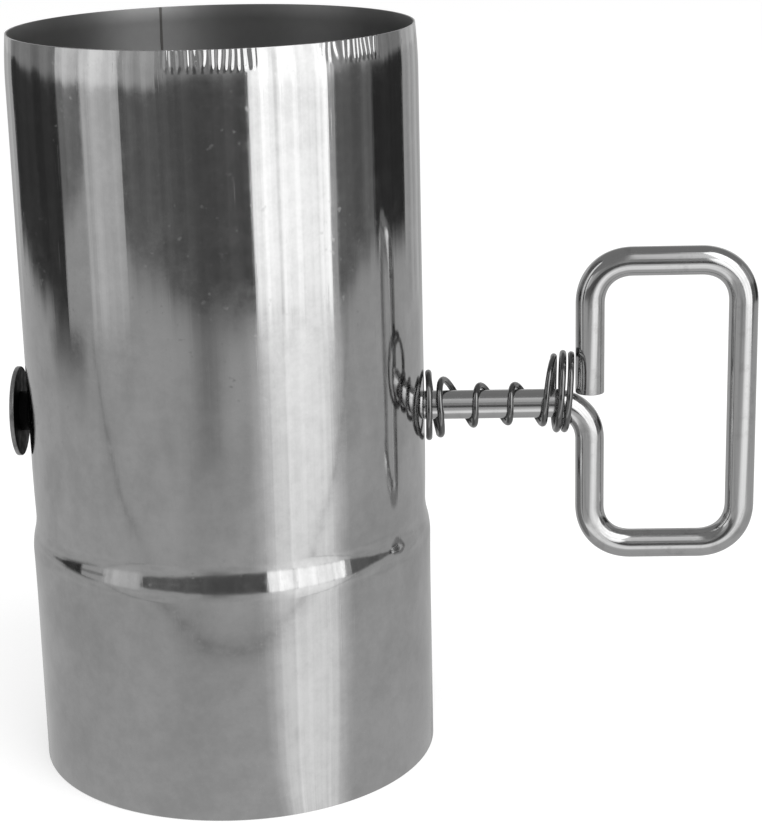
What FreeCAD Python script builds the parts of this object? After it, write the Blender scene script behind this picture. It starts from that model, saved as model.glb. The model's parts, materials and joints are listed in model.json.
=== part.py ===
import FreeCAD, Part
import math
import os

from FreeCAD import Vector

# Stove pipe damper: a short stainless flue pipe with a turning plate on a spring-loaded spindle, whose end is
# bent into a loop handle. Millimetres. The origin is on the pipe's axis at the mouth of its socket, +Z runs up
# the flue and +X points out along the spindle to the handle. The plate stands upright, so the flue is open.

# Pipe, one rolled and butt-welded sheet
pipe_diameter = 110.0
sheet_thickness = 0.6
pipe_length = 205.0
socket_depth = 62.0
socket_step_length = 10.0
socket_growth = 1.1
spigot_length = 10.0
spigot_taper_length = 2.5
spigot_reduction = 0.65

# Spindle, one round bar bent into a shaft and a loop
spindle_height = 99.0
bar_diameter = 8.0
spindle_hole_clearance = 0.1
handle_stand_off = 46.0
loop_width = 42.0
loop_rise = 40.0
loop_drop = 41.5
loop_corner_radius = 7.5
shaft_bend_radius = 10.0
loop_end_gap = 0.4
peened_head_diameter = 11.0
peened_head_height = 1.5
peened_head_chamfer = 1.0

# Stop at the spindle's plain end
collar_wall_gap = 0.3
collar_diameter = 11.0
collar_length = 2.5
collar_bore_clearance = 0.05
washer_diameter = 25.0
washer_thickness = 1.2
washer_bore_clearance = 0.2

# Damper plate, one pressed sheet with bridges that lie on either side of the bar in turn
plate_wall_clearance = 2.4
plate_thickness = 1.0
bridge_count = 3
bridge_slit = 1.0
bridge_root_radius = 2.0
bridge_bar_clearance = 0.05
plate_socket_clearance = 1.5
plug_weld_diameter = 4.0
plug_weld_spacing = 10.0
plug_weld_crown = 0.4

# Spring, an hourglass coil between the pipe's wall and the handle
spring_wire_diameter = 1.8
spring_end_gap = 0.3
spring_bar_clearance = 0.3
spring_wall_coil_radius = 9.4
spring_handle_coil_radius = 10.6
spring_handle_coil_lift = 3.4
spring_wall_lean = 0.115
spring_open_lean = 0.27
spring_handle_lean = -0.05
spring_close_pitch = 2.1
spring_wall_turns = 1.0
spring_open_turns = 3.5
spring_handle_turns = 2.0
spring_chords_per_turn = 14
spring_wire_sides = 6

# Places and radii that follow from those sizes
pipe_radius = pipe_diameter / 2
pipe_bore_radius = pipe_radius - sheet_thickness
bar_radius = bar_diameter / 2
inner_leg_x = pipe_radius + handle_stand_off
outer_leg_x = inner_leg_x + loop_width
collar_face_x = -(pipe_radius + collar_wall_gap)
washer_face_x = collar_face_x - collar_length
bar_end_x = washer_face_x - washer_thickness
plate_radius = pipe_bore_radius - plate_wall_clearance
bridge_length = (2 * plate_radius - (bridge_count - 1) * bridge_slit) / bridge_count

ALONG_X = Vector(1, 0, 0)
ALONG_Y = Vector(0, 1, 0)
ALONG_Z = Vector(0, 0, 1)


def spindle_point(x, y=0.0, rise=0.0):
    """A point given from the spindle's axis: x along it, y to the back, rise above it."""
    return Vector(x, y, spindle_height + rise)


def chain_face(corners):
    """The flat face inside a closed chain of corners. A pair (middle, end) makes an arc to its end."""
    edges = []
    last = corners[0]
    for corner in corners[1:] + corners[:1]:
        if isinstance(corner, tuple):
            middle, end = corner
            edges.append(Part.Arc(last, middle, end).toShape())
        else:
            end = corner
            edges.append(Part.LineSegment(last, end).toShape())
        last = end
    return Part.Face(Part.Wire(edges))


def step_arcs(wide_radius, narrow_radius):
    """Two equal tangent arcs, as (middle, end) pairs, from the socket's wall up to the pipe's wall."""
    half_height = socket_step_length / 2
    half_width = (wide_radius - narrow_radius) / 2
    bend_radius = (half_height ** 2 + half_width ** 2) / (2 * half_width)
    half_angle = math.asin(half_height / bend_radius) / 2
    along = bend_radius * math.sin(half_angle)
    aside = bend_radius * (1 - math.cos(half_angle))
    foot = socket_depth
    top = socket_depth + socket_step_length
    halfway = Vector(wide_radius - half_width, 0, foot + half_height)
    lower = (Vector(wide_radius - aside, 0, foot + along), halfway)
    upper = (Vector(narrow_radius + aside, 0, top - along), Vector(narrow_radius, 0, top))
    return [lower, upper]


def reversed_arcs(start, arcs):
    """The same arcs run through backwards, to end at the point that they started from."""
    ends = [start] + [end for middle, end in arcs]
    middles = [middle for middle, end in arcs]
    return [(middles[i], ends[i]) for i in reversed(range(len(arcs)))]


def make_pipe_body():
    """The pipe: a socket, an S-shaped step, the plain wall, and a drawn-in spigot, with two spindle holes."""
    socket_outside = pipe_radius + socket_growth
    socket_inside = socket_outside - sheet_thickness
    spigot_outside = pipe_radius - spigot_reduction
    spigot_inside = spigot_outside - sheet_thickness
    taper_foot = pipe_length - spigot_length - spigot_taper_length
    spigot_foot = pipe_length - spigot_length
    inner_step_start = Vector(socket_inside, 0, socket_depth)
    inner_step = step_arcs(socket_inside, pipe_bore_radius)
    wall = [
        Vector(socket_inside, 0, 0),
        Vector(socket_outside, 0, 0),
        Vector(socket_outside, 0, socket_depth),
        *step_arcs(socket_outside, pipe_radius),
        Vector(pipe_radius, 0, taper_foot),
        Vector(spigot_outside, 0, spigot_foot),
        Vector(spigot_outside, 0, pipe_length),
        Vector(spigot_inside, 0, pipe_length),
        Vector(spigot_inside, 0, spigot_foot),
        Vector(pipe_bore_radius, 0, taper_foot),
        Vector(pipe_bore_radius, 0, socket_depth + socket_step_length),
        *reversed_arcs(inner_step_start, inner_step),
    ]
    tube = chain_face(wall).revolve(Vector(), ALONG_Z, 360)
    hole = Part.makeCylinder(bar_radius + spindle_hole_clearance, 2 * socket_outside,
                             spindle_point(-socket_outside), ALONG_X)
    return tube.cut(hole)


def bent_bar(corners, bend_radii, radius):
    """A round bar along straight runs between corners, with a tangent bend at each inner corner."""
    start = corners[0]
    solids = []
    for i, corner in enumerate(corners[1:], start=1):
        heading = (corner - start).normalize()
        section = Part.Face(Part.Wire(Part.makeCircle(radius, start, heading)))
        if i == len(corners) - 1:
            solids.append(section.extrude(corner - start))
            break
        bend_radius = bend_radii[i - 1]
        leaving = (corners[i + 1] - corner).normalize()
        turn = heading.getAngle(leaving)
        run_end = corner - heading * (bend_radius * math.tan(turn / 2))
        run = run_end - start
        solids.append(section.extrude(run))
        section.translate(run)
        bend_axis = heading.cross(leaving)
        bend_centre = run_end + bend_axis.cross(heading).normalize() * bend_radius
        solids.append(section.revolve(bend_centre, bend_axis, math.degrees(turn)))
        start = corner + leaving * (bend_radius * math.tan(turn / 2))
    return solids[0].multiFuse(solids[1:]).removeSplitter()


def make_spindle():
    """The shaft, bent down into the handle's loop, whose cut end stops just above the bend it started from."""
    bend_crown = math.sqrt((shaft_bend_radius + bar_radius) ** 2 - (shaft_bend_radius - bar_radius) ** 2)
    cut_end_rise = bend_crown - shaft_bend_radius + loop_end_gap
    corners = [
        spindle_point(bar_end_x),
        spindle_point(inner_leg_x),
        spindle_point(inner_leg_x, rise=-loop_drop),
        spindle_point(outer_leg_x, rise=-loop_drop),
        spindle_point(outer_leg_x, rise=loop_rise),
        spindle_point(inner_leg_x, rise=loop_rise),
        spindle_point(inner_leg_x, rise=cut_end_rise),
    ]
    bar = bent_bar(corners, [shaft_bend_radius] + [loop_corner_radius] * 4, bar_radius)
    head_radius = peened_head_diameter / 2
    head_x = bar_end_x - peened_head_height
    half_head = chain_face([
        spindle_point(head_x),
        spindle_point(head_x, rise=head_radius - peened_head_chamfer),
        spindle_point(head_x + peened_head_chamfer, rise=head_radius),
        spindle_point(bar_end_x, rise=head_radius),
        spindle_point(bar_end_x),
    ])
    head = half_head.revolve(spindle_point(0), ALONG_X, 360)
    return bar.fuse(head).removeSplitter()


def ring(outer_radius, bore_radius, length, face_x):
    """A flat ring round the spindle's axis that runs from face_x away from the pipe."""
    outside = Part.makeCylinder(outer_radius, length, spindle_point(face_x), -ALONG_X)
    bore = Part.makeCylinder(bore_radius, length, spindle_point(face_x), -ALONG_X)
    return outside.cut(bore)


def bridge_section(x, side):
    """The section of one pressed bridge: flat, root bend, half round over the bar, root bend, flat."""
    crown_radius = bar_radius + bridge_bar_clearance + plate_thickness / 2
    root_reach = math.sqrt(crown_radius ** 2 + 2 * crown_radius * bridge_root_radius)
    root_angle = math.atan2(bridge_root_radius, root_reach)
    half_turn = (math.pi / 2 - root_angle) / 2

    def skin(offset):
        """The arcs of one skin of the sheet, from the flat below the bar to the flat above it."""
        crown = crown_radius + offset
        root = bridge_root_radius - offset

        def at(z, out):
            return spindle_point(x, y=side * out, rise=z)

        def root_bend(sign):
            middle = at(sign * (root_reach - root * math.sin(half_turn)),
                        bridge_root_radius - root * math.cos(half_turn))
            flat_end = at(sign * root_reach, offset)
            crown_end = at(sign * crown * math.cos(root_angle), crown * math.sin(root_angle))
            return flat_end, middle, crown_end

        low_flat, low_middle, low_crown = root_bend(-1)
        high_flat, high_middle, high_crown = root_bend(1)
        arcs = [(low_middle, low_crown), (at(0, crown), high_crown), (high_middle, high_flat)]
        return low_flat, arcs

    outer_start, outer_arcs = skin(plate_thickness / 2)
    inner_start, inner_arcs = skin(-plate_thickness / 2)
    inner_end = inner_arcs[-1][1]
    corners = [outer_start] + outer_arcs + [inner_end] + reversed_arcs(inner_start, inner_arcs)
    return chain_face(corners), root_reach


def bridge_start(i):
    """Where bridge i starts along the spindle."""
    return -plate_radius + i * (bridge_length + bridge_slit)


def bridge_side(i):
    """The side of the plate that bridge i is pressed to: -1 is the front, 1 the back."""
    return -1 if i % 2 == 0 else 1


def plug_weld_solids(length):
    """Two cylinders from the spindle's axis out through the crown of the middle bridge."""
    middle = bridge_count // 2
    centre_x = bridge_start(middle) + bridge_length / 2
    outward = ALONG_Y * bridge_side(middle)
    return [
        Part.makeCylinder(plug_weld_diameter / 2, length, spindle_point(centre_x + offset), outward)
        for offset in (-plug_weld_spacing / 2, plug_weld_spacing / 2)
    ]


def make_damper_plate():
    """The round plate. Strips between slits are pressed to the front and the back in turn, round the bar.

    A straight lower edge clears a pipe in the socket and, with the plate shut, leaves a way for gas to escape.
    The middle bridge has a hole for each plug weld.
    """
    half_thickness = Vector(0, plate_thickness / 2, 0)
    plate = Part.makeCylinder(plate_radius, plate_thickness, spindle_point(0) - half_thickness, ALONG_Y)
    strips = []
    for i in range(bridge_count):
        section, root_reach = bridge_section(bridge_start(i), bridge_side(i))
        strips.append(section.extrude(ALONG_X * bridge_length))
    band = Part.makeBox(2 * plate_radius, plate_thickness, 2 * root_reach,
                        spindle_point(-plate_radius, rise=-root_reach) - half_thickness)
    strip_depth = bar_diameter + 2 * plate_thickness
    outline = Part.makeCylinder(plate_radius, 2 * strip_depth, spindle_point(0, y=-strip_depth), ALONG_Y)
    trimmed = [strip.common(outline) for strip in strips]
    pressed = plate.cut(band).multiFuse(trimmed).removeSplitter()
    lower_edge = socket_depth + plate_socket_clearance
    bypass = Part.makeBox(2 * plate_radius, 2 * plate_thickness, lower_edge,
                          Vector(-plate_radius, -plate_thickness, 0))
    return pressed.cut([bypass] + plug_weld_solids(strip_depth))


def make_plate_plug_welds():
    """The welds that fill the middle bridge's two holes and stop the plate from turning on the bar."""
    crown = bar_radius + bridge_bar_clearance + plate_thickness + plug_weld_crown
    shaft = Part.makeCylinder(bar_radius, 2 * plate_radius, spindle_point(-plate_radius), ALONG_X)
    return Part.makeCompound([plug.cut(shaft) for plug in plug_weld_solids(crown)])


def smooth_step(value, start, end):
    """0 before start, 1 after end, and an even S-curve between them."""
    share = min(1.0, max(0.0, (value - start) / (end - start)))
    return share * share * (3 - 2 * share)


def regular_polygon(centre, normal, radius, sides):
    """A closed polygon square to normal, of the same area as a circle of that radius."""
    corner_radius = radius * math.sqrt(2 * math.pi / (sides * math.sin(2 * math.pi / sides)))
    first = normal.cross(ALONG_X).normalize() * corner_radius
    second = normal.cross(first).normalize() * corner_radius
    angles = [2 * math.pi * i / sides for i in range(sides + 1)]
    return Part.makePolygon([centre + first * math.cos(a) + second * math.sin(a) for a in angles])


def make_spring():
    """The hourglass spring: close turns at the wall, open turns on the bar, wide close turns at the handle.

    The wire starts below the bar and ends above it. The tops of its turns lean to the wall, by a lean in mm for each
    mm of height above the coil's middle, except at the handle.
    """
    wire_radius = spring_wire_diameter / 2
    wall_seat = pipe_radius + spring_end_gap + wire_radius
    handle_seat = inner_leg_x - bar_radius - spring_end_gap - wire_radius
    start_x = wall_seat + spring_wall_lean * spring_wall_coil_radius - spring_close_pitch / 2
    end_x = handle_seat + spring_handle_lean * spring_handle_coil_radius
    open_start = spring_wall_turns
    open_end = spring_wall_turns + spring_open_turns
    turns = open_end + spring_handle_turns
    open_pitch = (end_x - start_x - (turns - spring_open_turns) * spring_close_pitch) / spring_open_turns
    waist_radius = bar_radius + spring_bar_clearance + wire_radius

    def wire_point(turn):
        open_part = min(max(turn - open_start, 0), spring_open_turns)
        x = start_x + open_part * open_pitch + (turn - open_part) * spring_close_pitch
        leaving_wall = smooth_step(turn, open_start - 0.5, open_start + 1.5)
        at_handle = smooth_step(turn, open_end - 0.75, open_end + 0.25)
        coil_radius = spring_wall_coil_radius
        coil_radius += (waist_radius - spring_wall_coil_radius) * leaving_wall
        coil_radius += (spring_handle_coil_radius - waist_radius) * at_handle
        lean = spring_wall_lean
        lean += (spring_open_lean - spring_wall_lean) * leaving_wall
        lean += (spring_handle_lean - spring_open_lean) * at_handle
        angle = -math.pi / 2 - 2 * math.pi * turn
        height = coil_radius * math.sin(angle)
        return spindle_point(x - lean * height, y=coil_radius * math.cos(angle),
                             rise=height + spring_handle_coil_lift * at_handle)

    chords = round(turns * spring_chords_per_turn)
    points = [wire_point(turns * i / chords) for i in range(chords + 1)]
    section = regular_polygon(points[0], points[1] - points[0], wire_radius, spring_wire_sides)
    mitred_corners = 1
    return Part.makePolygon(points).makePipeShell([section], True, False, mitred_corners)


def make_nodes():
    """Every piece of the damper by name."""
    return {
        "pipe_body": make_pipe_body(),
        "spindle": make_spindle(),
        "damper_plate": make_damper_plate(),
        "plate_plug_welds": make_plate_plug_welds(),
        "spring": make_spring(),
        "end_collar": ring(collar_diameter / 2, bar_radius + collar_bore_clearance, collar_length, collar_face_x),
        "end_washer": ring(washer_diameter / 2, bar_radius + washer_bore_clearance, washer_thickness,
                           washer_face_x),
    }


os.makedirs("parts", exist_ok=True)
for name, shape in make_nodes().items():
    shape.exportStep(f"parts/{name}.step")
    print(name, "valid" if shape.isValid() else "NOT VALID", len(shape.Solids), "solid(s)", round(shape.Volume, 1))
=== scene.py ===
"""Scene of a stove pipe damper.

A stainless flue pipe holds a plate that is turned by a spring-loaded bar, and the bar's end is bent into a
loop handle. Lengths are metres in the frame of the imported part. The origin is in the middle of the socket's
mouth, +Z runs up the flue and +X points out along the spindle to the handle.
"""

from __future__ import annotations

import json
import logging
import math
from dataclasses import dataclass, field
from enum import Enum
from typing import Iterable, Sequence

import bmesh
import bpy
from mathutils import Matrix, Vector

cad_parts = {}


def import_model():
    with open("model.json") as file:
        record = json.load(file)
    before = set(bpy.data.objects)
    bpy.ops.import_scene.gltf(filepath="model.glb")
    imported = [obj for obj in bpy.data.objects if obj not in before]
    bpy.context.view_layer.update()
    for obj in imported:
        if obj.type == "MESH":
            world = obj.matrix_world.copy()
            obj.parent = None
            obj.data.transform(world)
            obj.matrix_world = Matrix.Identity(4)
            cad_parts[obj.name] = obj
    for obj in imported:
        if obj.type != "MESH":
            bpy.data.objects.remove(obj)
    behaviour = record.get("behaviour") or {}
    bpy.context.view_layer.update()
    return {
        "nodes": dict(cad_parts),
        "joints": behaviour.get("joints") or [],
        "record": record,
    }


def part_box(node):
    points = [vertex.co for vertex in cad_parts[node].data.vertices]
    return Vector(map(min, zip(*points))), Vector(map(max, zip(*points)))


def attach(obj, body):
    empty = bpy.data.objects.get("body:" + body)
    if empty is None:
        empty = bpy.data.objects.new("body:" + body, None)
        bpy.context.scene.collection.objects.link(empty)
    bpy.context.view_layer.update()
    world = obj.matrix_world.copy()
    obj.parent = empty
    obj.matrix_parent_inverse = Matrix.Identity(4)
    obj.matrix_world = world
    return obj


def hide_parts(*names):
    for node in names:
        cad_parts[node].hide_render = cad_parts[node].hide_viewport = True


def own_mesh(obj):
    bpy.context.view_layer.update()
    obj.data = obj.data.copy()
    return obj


LOG = logging.getLogger("stove_pipe_damper")
MM = 0.001
ALONG_X = Vector((1.0, 0.0, 0.0))
ALONG_Z = Vector((0.0, 0.0, 1.0))
SAME_PLACE = 0.0005 * MM
SAME_LEVEL = 0.001 * MM

Socket = bpy.types.NodeSocket
Span = tuple[float, float]
Band = tuple[float, float, float]


class Body(str, Enum):
    """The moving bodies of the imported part."""

    PIPE = "pipe"
    SPRING = "spring"
    SPINDLE = "spindle"


class Slot(str, Enum):
    """The names of the material slots, one for each finish of the new pieces."""

    PIPE = "pipe_stainless"
    BAR = "bar_steel"
    SPRING = "spring_steel"
    BLACK = "black_oxide"


@dataclass(frozen=True)
class Grain:
    """A noise that a finish is made of.

    The scale counts features per unit of the coordinates, which are metres unless the finish gives others. A
    small stretch draws the features out along its axis. The depth is how far they stand out of the surface.
    Low and high say where the noise begins to show and where it shows fully.
    """

    scale: float
    stretch: tuple[float, float, float] = (1.0, 1.0, 1.0)
    detail: float = 3.0
    roughness: float = 0.55
    depth: float = 0.0
    low: float = 0.0
    high: float = 1.0


class NodeGraph:
    """A material's node tree, with short ways to add the nodes that these finishes share."""

    def __init__(self, name: str) -> None:
        """Start a material that has one Principled shader.

        Args:
            name: The material's name.
        """
        self.material = bpy.data.materials.new(name)
        self.material.use_nodes = True
        self.tree = self.material.node_tree
        self.shader = self.tree.nodes["Principled BSDF"]
        coords = self.add("ShaderNodeTexCoord")
        self.object_coords = coords.outputs["Object"]
        self.x, self.y, self.z = self.split(self.object_coords)
        self.facing = coords.outputs["Normal"]

    def add(self, kind: str, **settings: object) -> bpy.types.Node:
        """Add a node and set its properties.

        Args:
            kind: The node's type.
            **settings: Properties of the node by name.

        Returns:
            The new node.
        """
        node = self.tree.nodes.new(kind)
        for key, value in settings.items():
            setattr(node, key, value)
        return node

    def feed(self, socket: Socket, source: object) -> None:
        """Link an output to a socket, or set the socket's value.

        Args:
            socket: The input socket.
            source: An output socket, or a plain value.
        """
        if isinstance(source, bpy.types.NodeSocket):
            self.tree.links.new(source, socket)
        else:
            socket.default_value = source

    def set_shader(self, **values: object) -> None:
        """Feed the shader's inputs, given by name with _ for each space."""
        for key, value in values.items():
            self.feed(self.shader.inputs[key.replace("_", " ")], value)

    def split(self, vector: Socket) -> tuple[Socket, ...]:
        """Take a vector apart.

        Args:
            vector: The vector's output.

        Returns:
            The outputs of its three parts.
        """
        node = self.add("ShaderNodeSeparateXYZ")
        self.feed(node.inputs[0], vector)
        return tuple(node.outputs)

    def join(self, x: object, y: object, z: object) -> Socket:
        """Put a vector together.

        Args:
            x: Its first part, a number or an output.
            y: Its second part, a number or an output.
            z: Its third part, a number or an output.

        Returns:
            The vector's output.
        """
        node = self.add("ShaderNodeCombineXYZ")
        for socket, part in zip(node.inputs, (x, y, z)):
            self.feed(socket, part)
        return node.outputs[0]

    def attribute(self, name: str) -> Socket:
        """The number that a piece's own attribute holds at each point."""
        return self.add("ShaderNodeAttribute", attribute_name=name).outputs["Fac"]

    def math(self, operation: str, first: object, second: object = 0.0) -> Socket:
        """Combine two numbers.

        Args:
            operation: The Math node's operation.
            first: A number or an output.
            second: A number or an output.

        Returns:
            The result's output.
        """
        node = self.add("ShaderNodeMath", operation=operation)
        self.feed(node.inputs[0], first)
        self.feed(node.inputs[1], second)
        return node.outputs[0]

    def plus(self, first: object, second: object) -> Socket:
        """The sum of two numbers."""
        return self.math("ADD", first, second)

    def minus(self, first: object, second: object) -> Socket:
        """The first number less the second."""
        return self.math("SUBTRACT", first, second)

    def times(self, first: object, *others: object) -> Socket:
        """Multiply numbers.

        Args:
            first: A number or an output.
            *others: More numbers or outputs.

        Returns:
            The product's output.
        """
        product = first
        for other in others:
            product = self.math("MULTIPLY", product, other)
        return product

    def front_angle(self, centre: Vector = Vector()) -> Socket:
        """A point's direction from a centre, in radians from the front, to the right as seen from there."""
        return self.math("ARCTAN2", self.minus(self.x, centre.x), self.minus(centre.y, self.y))

    def ramp(self, value: object, low: float, high: float, to_low: object = 0.0, to_high: object = 1.0,
             kind: str = "SMOOTHSTEP") -> Socket:
        """Carry a number from one range to another.

        Args:
            value: The number's output.
            low: Where the range starts.
            high: Where the range ends.
            to_low: The result at low, a number or an output.
            to_high: The result at high, a number or an output.
            kind: How the result moves between the two.

        Returns:
            The result's output.
        """
        node = self.add("ShaderNodeMapRange", interpolation_type=kind)
        self.feed(node.inputs["Value"], value)
        for key, number in zip(("From Min", "From Max", "To Min", "To Max"), (low, high, to_low, to_high)):
            self.feed(node.inputs[key], number)
        return node.outputs["Result"]

    def blend(self, share: Socket, first: object, second: object) -> Socket:
        """The first number where the share is 0, the second where it is 1, and evenly between them."""
        return self.ramp(share, 0.0, 1.0, first, second, "LINEAR")

    def spread(self, value: Socket, span: Span, level: float, shares: Span) -> Socket:
        """Carry a number from a span to two shares of a level."""
        return self.ramp(value, *span, *(level * share for share in shares))

    def band(self, value: object, middle: float, half_width: float, soft: float) -> Socket:
        """1 where a number is near the middle, falling smoothly to 0.

        Args:
            value: The number's output.
            middle: The middle of the band.
            half_width: How far the band reaches on each side, to the middle of its soft edge.
            soft: The width of that edge.

        Returns:
            The result's output.
        """
        away = self.math("ABSOLUTE", self.minus(value, middle))
        return self.ramp(away, half_width - soft / 2, half_width + soft / 2, 1.0, 0.0)

    def noise(self, grain: Grain, coords: Socket | None = None) -> Socket:
        """Add a grain's noise.

        Args:
            grain: The noise's scale, stretch and layers.
            coords: The coordinates to read, or None for the object's own.

        Returns:
            The noise's output, from 0 to 1.
        """
        mapping = self.add("ShaderNodeMapping")
        self.feed(mapping.inputs["Vector"], coords or self.object_coords)
        mapping.inputs["Scale"].default_value = grain.stretch
        node = self.add("ShaderNodeTexNoise")
        self.feed(node.inputs["Vector"], mapping.outputs["Vector"])
        node.inputs["Scale"].default_value = grain.scale
        node.inputs["Detail"].default_value = grain.detail
        node.inputs["Roughness"].default_value = grain.roughness
        return node.outputs["Fac"]

    def marks(self, grain: Grain, to_low: float = 0.0, to_high: float = 1.0,
              coords: Socket | None = None) -> Socket:
        """A grain's noise, carried from its low and high to two other numbers."""
        return self.ramp(self.noise(grain, coords), grain.low, grain.high, to_low, to_high)

    def grey_mix(self, factor: Socket, dark: object, light: object) -> Socket:
        """Mix two colours.

        Args:
            factor: 0 gives dark, 1 gives light.
            dark: A colour or an output.
            light: A colour or an output.

        Returns:
            The mixed colour's output.
        """
        node = self.add("ShaderNodeMix", data_type="RGBA")
        self.feed(node.inputs["Factor"], factor)
        self.feed(node.inputs["A"], dark)
        self.feed(node.inputs["B"], light)
        return node.outputs["Result"]

    def bump(self, height: Socket, depth: float, below: Socket | None = None) -> Socket:
        """Turn a height into a normal.

        Args:
            height: The height's output, from 0 to 1.
            depth: How deep a height of 1 is, in metres.
            below: The normal of the layer below, or None for the surface's own.

        Returns:
            The normal's output.
        """
        node = self.add("ShaderNodeBump")
        node.inputs["Distance"].default_value = depth
        self.feed(node.inputs["Height"], height)
        if below is not None:
            self.feed(node.inputs["Normal"], below)
        return node.outputs["Normal"]


def grey(level: float, warmth: float = 0.0) -> tuple[float, float, float, float]:
    """A neutral colour, with a touch of red and less blue where warmth is above 0."""
    return (level * (1 + warmth), level, level * (1 - warmth), 1.0)


def two_greys(level: float, shares: Span) -> Iterable[tuple[float, float, float, float]]:
    """Two neutral colours at two shares of a level."""
    return (grey(level * share) for share in shares)


@dataclass(frozen=True)
class RolledStainless:
    """Rolled stainless sheet: near mirror outside and duller inside, with rolling lines and a welded seam.
    Its darker colour inside is painted shade.

    Fine ripples stand along arcs of the rim, which are given in degrees from the front.
    """

    level: float = 0.5
    roughness: float = 0.085
    anisotropy: float = 0.5
    anisotropy_turn: float = 0.25
    shaded_inside_level: float = 0.34
    inside_roughness: float = 0.45
    turning_share: float = 0.1
    tone_span: Span = (0.35, 0.65)
    tones: Span = (0.92, 1.08)
    shaded_inside_tones: Span = (0.8, 1.2)
    dull_span: Span = (0.38, 0.68)
    dulling: Span = (0.8, 1.5)
    speck_strength: float = 0.7
    speck_roughness: float = 0.3
    seam_angle: float = math.radians(-158.6)
    seam_half_width: float = 0.35 * MM
    seam_soft_share: float = 0.5
    seam_depth: float = 0.05 * MM
    seam_tone: float = 0.3
    seam_warmth: float = 0.03
    seam_outside: float = 0.4
    ripple_pitch: float = 1.7 * MM
    ripple_height: float = 6.0 * MM
    ripple_fade: float = 3.0 * MM
    ripple_depth: float = 0.16 * MM
    ripple_wander: float = 18.0
    ripple_strengths: Span = (0.25, 0.8)
    rippled_arcs: tuple[Span, ...] = ((-6.0, 16.5), (37.0, 56.0))
    arc_fade: float = math.radians(4.0)
    lines: Grain = Grain(900.0, (1.0, 1.0, 0.008), detail=4.0, depth=0.006 * MM)
    waves: Grain = Grain(240.0, (1.0, 1.0, 0.006), depth=0.03 * MM)
    dents: Grain = Grain(22.0, detail=1.0, depth=0.3 * MM)
    scratches: Grain = Grain(1500.0, (1.0, 1.0, 0.02), detail=2.0, depth=0.004 * MM, low=0.66, high=0.74)
    smudges: Grain = Grain(26.0, detail=5.0, roughness=0.6, low=0.4, high=0.6)
    mottle: Grain = Grain(190.0, detail=5.0, roughness=0.7)
    specks: Grain = Grain(560.0, detail=1.0, low=0.68, high=0.75)
    ripple_drift: Grain = Grain(120.0, (1.0, 1.0, 0.3), detail=2.0)
    ripple_patches: Grain = Grain(90.0, (1.0, 1.0, 0.3), detail=1.0, low=0.35, high=0.65)

    def material(self, pipe_radius: float, rim_radius: float, length: float) -> bpy.types.Material:
        """Make the pipe's material.

        Args:
            pipe_radius: The wall's radius, which gives the seam its width.
            rim_radius: The rim's radius, which gives the ripples their number.
            length: The pipe's length, where the rim ends.

        Returns:
            The material.
        """
        graph = NodeGraph("rolled_stainless")
        angle = graph.front_angle()
        seam_half = self.seam_half_width / pipe_radius
        seam = graph.band(angle, self.seam_angle, seam_half, self.seam_soft_share * seam_half)
        facing_x, facing_y, _ = graph.split(graph.facing)
        outward = graph.plus(graph.times(facing_x, graph.x), graph.times(facing_y, graph.y))
        turning = self.turning_share * pipe_radius
        inside = graph.ramp(outward, -turning, turning, 1.0, 0.0)

        smudges = graph.noise(self.smudges)
        tone = graph.plus(graph.times(smudges, 0.5), graph.times(graph.noise(self.mottle), 0.5))
        smudged = graph.ramp(smudges, self.smudges.low, self.smudges.high, 0.0, self.speck_strength)
        specks = graph.times(graph.marks(self.specks), smudged)

        heights = (
            (graph.noise(self.dents), self.dents.depth),
            (graph.noise(self.waves), self.waves.depth),
            (graph.noise(self.lines), self.lines.depth),
            (graph.marks(self.scratches), self.scratches.depth),
            (self.ripple_marks(graph, angle, rim_radius, length), self.ripple_depth),
            (seam, self.seam_depth),
        )
        normal = None
        for height, depth in heights:
            normal = graph.bump(height, depth, normal)

        colour = graph.grey_mix(graph.ramp(tone, *self.tone_span), *two_greys(self.level, self.tones))
        # Painted shade: the inside of the pipe takes a darker colour than the outside.
        painted_shade_colour = graph.grey_mix(tone, *two_greys(self.shaded_inside_level, self.shaded_inside_tones))
        colour = graph.grey_mix(inside, colour, painted_shade_colour)
        seam_shade = graph.times(seam, graph.blend(inside, self.seam_outside, 1.0))
        colour = graph.grey_mix(seam_shade, colour, grey(self.level * self.seam_tone, self.seam_warmth))
        dull = graph.spread(tone, self.dull_span, self.roughness, self.dulling)
        dull = graph.blend(specks, dull, self.speck_roughness)
        dull = graph.blend(inside, dull, self.inside_roughness)

        around = graph.add("ShaderNodeTangent", direction_type="RADIAL", axis="Z")
        graph.set_shader(Base_Color=colour, Metallic=1.0, Roughness=dull, Normal=normal,
                         Anisotropic=self.anisotropy, Anisotropic_Rotation=self.anisotropy_turn,
                         Tangent=around.outputs[0])
        return graph.material

    def ripple_marks(self, graph: NodeGraph, angle: Socket, rim_radius: float, length: float) -> Socket:
        """The short upright ripples that drawing the rim in has left along arcs of it.

        Args:
            graph: The pipe's node tree.
            angle: The direction round the pipe.
            rim_radius: The rim's radius.
            length: The pipe's length, where the rim ends.

        Returns:
            The ripples' height, from -1 to 1.
        """
        turns = graph.times(angle, 2 * math.pi * rim_radius / self.ripple_pitch)
        drift = graph.times(graph.noise(self.ripple_drift), self.ripple_wander)
        wave = graph.math("SINE", graph.plus(turns, drift))
        strength = graph.marks(self.ripple_patches, *self.ripple_strengths)
        arc = 0.0
        for start, end in self.rippled_arcs:
            middle = math.radians(start + end) / 2
            half = math.radians(end - start) / 2
            arc = graph.plus(arc, graph.band(angle, middle, half, self.arc_fade))
        foot = length - self.ripple_height
        upright = graph.ramp(graph.z, foot, foot + self.ripple_fade)
        return graph.times(wave, strength, arc, upright)


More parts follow.
